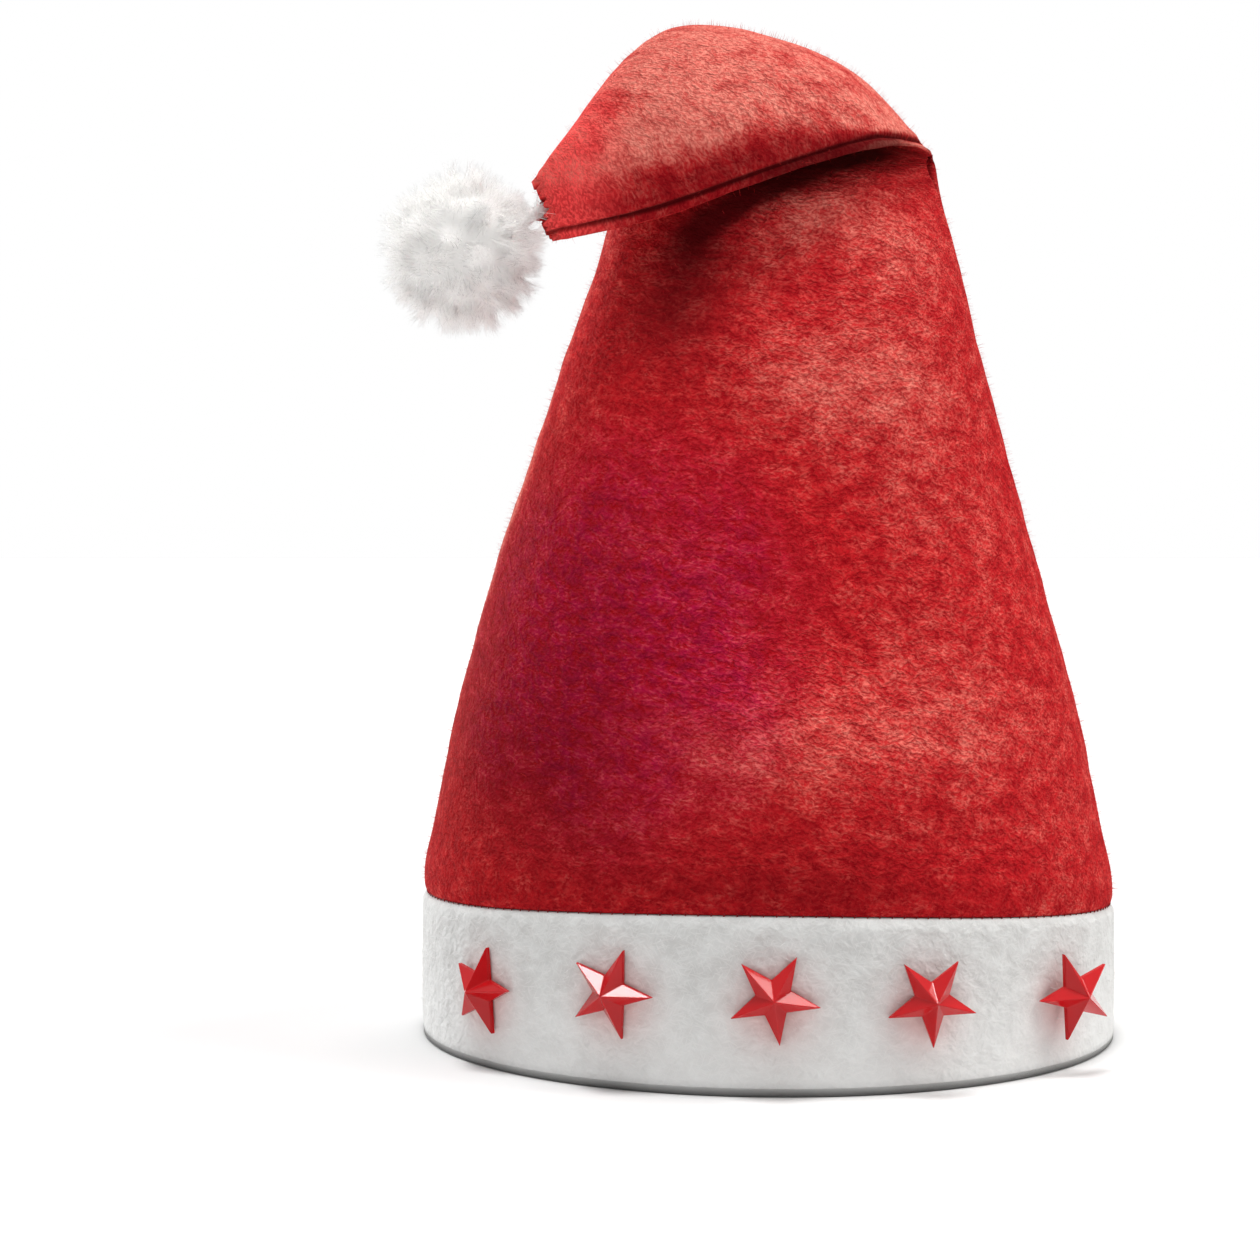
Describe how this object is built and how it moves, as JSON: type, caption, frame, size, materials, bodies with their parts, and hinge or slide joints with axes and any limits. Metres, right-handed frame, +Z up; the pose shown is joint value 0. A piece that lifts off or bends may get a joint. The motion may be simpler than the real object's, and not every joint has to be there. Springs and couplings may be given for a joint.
{
  "type": "light-up santa hat",
  "caption": "Red felt santa hat standing on a white felt band, its tip folded forward and ending in a white pompom, with light-up faceted stars on the front of the band.",
  "frame": {"origin": "middle of the hat's bounding box in plan, on the table that the band stands on", "axes": "+Z up along the hat, the front with the stars towards -Y, the folded tip and its pompom towards -X"},
  "size_m": [0.1914, 0.1909, 0.2668],
  "materials": {
    "red_felt": "fuzzy red felt",
    "white_felt": "fuzzy white felt",
    "white_fur": "fluffy white pile",
    "red_plastic": "clear red moulded plastic, faceted",
    "lamp_resin": "clear lamp resin"
  },
  "bodies": {
    "root": {"crown": "red_felt", "band": "white_felt", "pompom": "white_fur", "star_1": "red_plastic", "star_2": "red_plastic", "star_3": "red_plastic", "star_4": "red_plastic", "star_5": "red_plastic", "lamp_1": "lamp_resin", "lamp_2": "lamp_resin", "lamp_3": "lamp_resin", "lamp_4": "lamp_resin", "lamp_5": "lamp_resin"}
  },
  "joints": []
}
